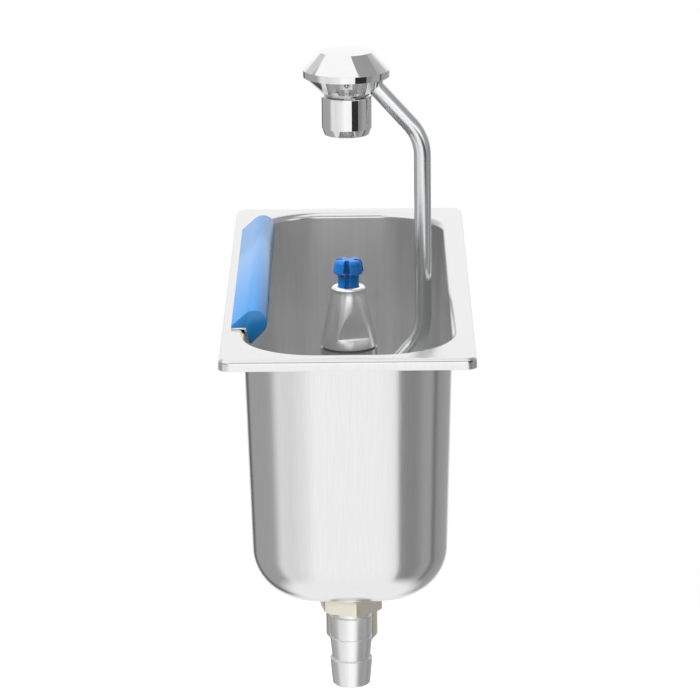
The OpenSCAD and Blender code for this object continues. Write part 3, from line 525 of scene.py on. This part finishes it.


# the spring's foot stays on its seat
def buildSpring():
    s = springSizes
    shut = s["shut"] * s["wireR"]
    free = s["length"] - 2 * s["wireR"] - 2 * shut
    path = []
    for i in range(s["turns"] * s["steps"] + 1):
        t = i / s["steps"]
        into = min(max(t - s["endTurns"], 0), s["turns"] - 2 * s["endTurns"])
        ends = min(t, s["endTurns"]) + max(t - s["turns"] + s["endTurns"], 0)
        z = s["foot"] + s["wireR"] + shut * ends / s["endTurns"] + free * into / (s["turns"] - 2 * s["endTurns"])
        path.append((s["coilR"] * math.cos(2 * math.pi * t), s["coilR"] * math.sin(2 * math.pi * t), z))
    spring = pipe("valveSpring", path, s["wireR"] - s["thin"], s["sides"], "valve_spring", "bright_steel")
    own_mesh(spring)


headSizes = {"top": 110.4, "topR": 11.9, "bandR": 19.6, "bandTop": 102.3, "bandFoot": 99.2, "neckR": 10.3,
             "neckFoot": 90.5, "plateR": 7.8, "plateRise": 5, "round": {3: 0.15, 4: 0.25, 5: 0.2, 6: 0.2},
             "segments": 192}
collarSizes = {"top": 90.1, "foot": 72.6, "r": 11.35, "edgeH": 3.2, "edgeW": 1.1, "boreR": 7.86, "seatR": 7.8,
               "seatRise": 1.5, "lipR": 6.3, "lipEdge": 0.3, "round": {1: 0.3, 2: 0.6, 3: 0.3}}


def buildHead():
    s, c = headSizes, collarSizes
    plateZ = c["foot"] + s["plateRise"]
    outline = [(0, plateZ), (s["plateR"], plateZ), (s["plateR"], s["neckFoot"]), (s["neckR"], s["neckFoot"]),
               (s["bandR"], s["bandFoot"]), (s["bandR"], s["bandTop"]), (s["topR"], s["top"]), (0, s["top"])]
    lathe("sprayHead", softened(outline, s["round"]), "spray_head", "chrome", segments=s["segments"])
    foot, r, lip = c["foot"], c["r"], c["lipR"]
    outline = [(c["boreR"], foot + c["seatRise"]), (lip, foot + c["seatRise"]), (lip, foot + c["lipEdge"]),
               (lip + c["lipEdge"], foot)]
    outline += softened([(c["seatR"], foot), (r - c["edgeW"], foot), (r, foot + c["edgeH"]), (r, c["top"]),
                         (c["boreR"], c["top"])], c["round"])
    lathe("headCollar", outline, "head_collar", "chrome", segments=s["segments"], closed=True)


# turn is the bearing of a nut's first corner in degrees
drainNutSizes = {"across": 25.5, "boreR": 10.46, "foot": -124.9, "top": -117.9, "turn": -80.0, "spot": (0, -80.0)}
inletNutSizes = {"across": 27.0, "boreR": 10.46, "foot": -122.5, "top": -115.5, "turn": 0, "spot": (0, 0)}
nutEdges = {"chamferW": 1.2, "chamferH": 0.6, "past": 0.01, "bevel": 0.15}
tailSizes = {"top": -125.0, "joint": -124.9, "neckR": 8.4, "neckH": 3.4, "barbR": 9.4, "depth": 1.0, "pitch": 10.1,
             "endH": 12.4, "boreR": 6.0, "barbs": 3, "firstShare": 0.45, "edge": 0.25, "mouthEdge": 0.8,
             "boreEdge": (0.2, 0.3), "spot": (0, -80.0)}
couplingSizes = {"foot": -169.4, "h": 30.0, "r": 12.0, "chamferW": 2.4, "chamferH": 3.4, "boreR": 9.3,
                 "boreH": 13.0, "step": 2.3, "edge": 0.4, "round": {6: 0.3}}


def hexNut(name, node, sizes):
    s, e = sizes, nutEdges
    corner = s["across"] / math.sqrt(3)
    prism = []
    for z in (s["foot"], s["top"]):
        for k in range(6):
            t = math.radians(s["turn"] + 60 * k)
            prism.append((s["spot"][0] + corner * math.cos(t), s["spot"][1] + corner * math.sin(t), z))
    faces = [tuple(range(6)), tuple(range(6, 12))] + [(k, (k + 1) % 6, 6 + (k + 1) % 6, 6 + k) for k in range(6)]
    body = blank(prism, faces)
    face, past = corner - e["chamferW"], corner + e["past"]
    outline = [(s["boreR"], s["foot"]), (face, s["foot"]), (past, s["foot"] + e["chamferH"]),
               (past, s["top"] - e["chamferH"]), (face, s["top"]), (s["boreR"], s["top"])]
    turned = blank(*latheMesh(outline, s["spot"], turnedSegments, True))
    seated(name, bevelled(carved(body, [turned], "INTERSECT"), e["bevel"]), node, "nickel", 25.0)


def buildUnderside():
    hexNut("drainLocknut", "drain_locknut", drainNutSizes)
    hexNut("inletLocknut", "inlet_locknut", inletNutSizes)
    s = tailSizes
    low = s["joint"] - s["neckH"]
    outline = [(s["boreR"], s["top"]), (s["neckR"], s["top"]), (s["neckR"], low)]
    for k in range(s["barbs"]):
        z, last = low - s["pitch"] * k, k == s["barbs"] - 1
        depth = s["depth"] * (s["firstShare"] if k == 0 else 1)
        fall = s["endH"] - s["mouthEdge"] if last else s["pitch"]
        outline += softened([(s["neckR"], z), (s["barbR"], z), (s["barbR"] - depth, z - fall)], s["edge"], 3)[1:]
    end = low - s["pitch"] * (s["barbs"] - 1) - s["endH"]
    outline += [(s["barbR"] - s["depth"] - s["mouthEdge"], end), (s["boreR"] + s["boreEdge"][0], end),
                (s["boreR"], end + s["boreEdge"][1])]
    lathe("hoseTail", outline, "hose_tail", "tail", s["spot"], turnedSegments, True)
    s = couplingSizes
    foot, top, edge, boreTop = s["foot"], s["foot"] + s["h"], s["edge"], s["foot"] + s["boreH"]
    outline = [(s["boreR"] - s["step"], top), (s["boreR"] - s["step"], boreTop), (s["boreR"], boreTop),
               (s["boreR"], foot + edge), (s["boreR"] + edge, foot), (s["r"] - s["chamferW"], foot),
               (s["r"], foot + s["chamferH"]), (s["r"], top - edge), (s["r"] - edge, top)]
    lathe("inletCoupling", softened(outline, s["round"]), "inlet_coupling", "nickel", (0, 0), turnedSegments, True)


buildBasin()
print("basin built")
buildWiper()
buildNozzle()
buildPlunger()
print("bar, nozzle and plunger built")
buildTube()
buildSpring()
buildHead()
buildUnderside()
print("tube, head and underside built")

slotOf = {row["node"]: row["material_slot"] for row in frame["record"]["subparts"]}
for node, piece in frame["nodes"].items():
    piece.data.materials.clear()
    piece.data.materials.append(materials["body" if node == "valve_body" else slotOf[node]])

# in metres
floorSizes = {"r": 0.5, "height": -0.32, "sides": 96}
floorMaterial = surface("paleFloor", "#f4f4f4", 0.0, 0.9, (60, 60, 60), 0.02, 0.01,
                        own={"Emission Color": (1, 1, 1, 1), "Emission Strength": 0.05})
bpy.ops.mesh.primitive_circle_add(vertices=floorSizes["sides"], radius=floorSizes["r"], fill_type="NGON",
                                  location=(0, 0, floorSizes["height"]))
floor = bpy.context.object
floor.name = "floor"
floor.data.materials.append(floorMaterial)
floor.visible_glossy = False
# no blue in the metal
for name in ("wiperBar", "sprayPlunger"):
    bpy.data.objects[name].visible_glossy = False

# what the metal mirrors: bright screens and dark gaps round the object. Each ring holds the height at which it begins
# and the height at which it is full, as the z of a direction, and its tones by bearing in degrees, where 0 is the
# camera's side and 90 the right. A ring lies over those before it
skyRings = {
    "low": (0, 0, [(-180, 1.0), (-162, 1.0), (-158, 0.1), (-146, 0.1), (-142, 0.42), (-84, 0.44), (-70, 0.95),
                   (-50, 0.88), (-20, 1.05), (-8, 1.2), (32, 1.1), (35, 0.3), (66, 0.3), (80, 0.42), (98, 0.45),
                   (101, 0.15), (106, 0.15), (110, 0.36), (158, 0.45), (162, 1.0), (180, 1.0)]),
    "near": (-0.1, 0.08, [(-180, 1.1), (-150, 1.1), (-135, 0.7), (-90, 0.45), (-70, 0.3), (-18, 0.3), (-12, 1.45),
                          (58, 1.45), (64, 0.4), (130, 0.45), (155, 1.1), (180, 1.1)]),
    "middle": (0.28, 0.36, [(-180, 1.15), (-165, 1.1), (-150, 0.75), (-122, 0.75), (-119, 0.5), (-110, 0.5),
                            (-100, 1.2), (-16, 1.2), (-10, 0.45), (60, 0.45), (100, 0.4), (140, 0.6), (155, 1.1),
                            (180, 1.15)]),
    "high": (0.62, 0.66, [(-180, 1.15), (-120, 1.18), (56, 1.18), (60, 0.4), (130, 0.38), (160, 1.1), (180, 1.15)]),
    "floor": (-0.75, -0.9, [(-180, 1.15), (180, 1.15)]),
}
world = bpy.data.worlds.new("studio")
bpy.context.scene.world = world
world.use_nodes = True
tree = world.node_tree
tree.nodes.clear()
way = addNode(tree, "ShaderNodeTexCoord")
parts = addNode(tree, "ShaderNodeSeparateXYZ", {0: way.outputs["Generated"]})
flip = addNode(tree, "ShaderNodeMath", {0: parts.outputs["Y"], 1: -1.0}, operation="MULTIPLY")
bearing = addNode(tree, "ShaderNodeMath", {0: parts.outputs["X"], 1: flip.outputs[0]}, operation="ARCTAN2")
share = addNode(tree, "ShaderNodeMath", {0: bearing.outputs[0], 1: 1 / (2 * math.pi), 2: 0.5},
                operation="MULTIPLY_ADD")
sky = None
for begins, full, tones in skyRings.values():
    ramp = addNode(tree, "ShaderNodeValToRGB", {"Fac": share.outputs[0]})
    stops = ramp.color_ramp.elements
    while len(stops) > 1:
        stops.remove(stops[-1])
    for i, (degrees, tone) in enumerate(tones):
        stop = stops[0] if i == 0 else stops.new((degrees + 180) / 360)
        stop.position, stop.color = (degrees + 180) / 360, (tone, tone, tone, 1)
    if sky is None:
        sky = ramp.outputs["Color"]
        continue
    rise = addNode(tree, "ShaderNodeMapRange", {"Value": parts.outputs["Z"], "From Min": begins, "From Max": full})
    sky = addNode(tree, "ShaderNodeMix", {"Factor": rise.outputs["Result"], 6: sky, 7: ramp.outputs["Color"]},
                  data_type="RGBA").outputs[2]
glow = addNode(tree, "ShaderNodeBackground", {"Color": sky})
white = addNode(tree, "ShaderNodeBackground", {"Color": (1, 1, 1, 1)})
rays = addNode(tree, "ShaderNodeLightPath")
pick = addNode(tree, "ShaderNodeMixShader", {0: rays.outputs["Is Camera Ray"], 1: glow.outputs[0],
                                             2: white.outputs[0]})
addNode(tree, "ShaderNodeOutputWorld", {"Surface": pick.outputs[0]})

# in metres and watts
lampSizes = {"side": 0.9, "power": 22, "place": (-0.8, -0.3, 1.1)}
lamp = bpy.data.lights.new("topLight", "AREA")
lamp.shape, lamp.size, lamp.size_y, lamp.energy = "RECTANGLE", lampSizes["side"], lampSizes["side"], lampSizes["power"]
topLight = added("topLight", lamp)
topLight.location = lampSizes["place"]
topLight.rotation_mode = "QUATERNION"
topLight.rotation_quaternion = (-topLight.location).to_track_quat("-Z", "Y")
topLight.visible_glossy = False

# the flag stands upright between two spots, x and y, from its foot to its top
cardSizes = {"near": (234, -173), "far": (109, -262), "foot": -8, "top": 90}
cardCorners = [(*cardSizes[spot], cardSizes[level]) for spot, level in
               (("near", "foot"), ("near", "top"), ("far", "top"), ("far", "foot"))]
card = newPiece("blackCard", cardCorners, [(0, 1, 2, 3)], None, "black")
card.visible_camera = card.visible_diffuse = card.visible_shadow = False

# place is in millimetres, the angles in degrees, and focal in pixels of a picture as wide as pixels says
cameraSizes = {"place": (9.2, -1732.3, 462.3), "pitch": 15.833, "yaw": 0.291, "roll": -0.593, "focal": 3930.6,
               "pixels": 700, "sensor": 36}
camera = added("camera", bpy.data.cameras.new("camera"))
bpy.context.scene.camera = camera
pitch, yaw, roll = (math.radians(cameraSizes[k]) for k in ("pitch", "yaw", "roll"))
right = Vector((math.cos(yaw), math.sin(yaw), 0))
ahead = Vector((-math.sin(yaw) * math.cos(pitch), math.cos(yaw) * math.cos(pitch), -math.sin(pitch)))
up = right.cross(ahead)
right, up = math.cos(roll) * right + math.sin(roll) * up, -math.sin(roll) * right + math.cos(roll) * up
aspect = Matrix((right, up, -ahead)).transposed()
camera.matrix_world = Matrix.Translation(Vector(cameraSizes["place"]) * mm) @ aspect.to_4x4()
camera.data.sensor_width = cameraSizes["sensor"]
camera.data.lens = cameraSizes["focal"] / cameraSizes["pixels"] * cameraSizes["sensor"]
camera.data.clip_start, camera.data.clip_end = 0.1, 20

scene = bpy.context.scene
scene.view_settings.view_transform = "Standard"
scene.cycles.max_bounces = 12
scene.cycles.glossy_bounces = 8  # the bowl's walls mirror each other several times
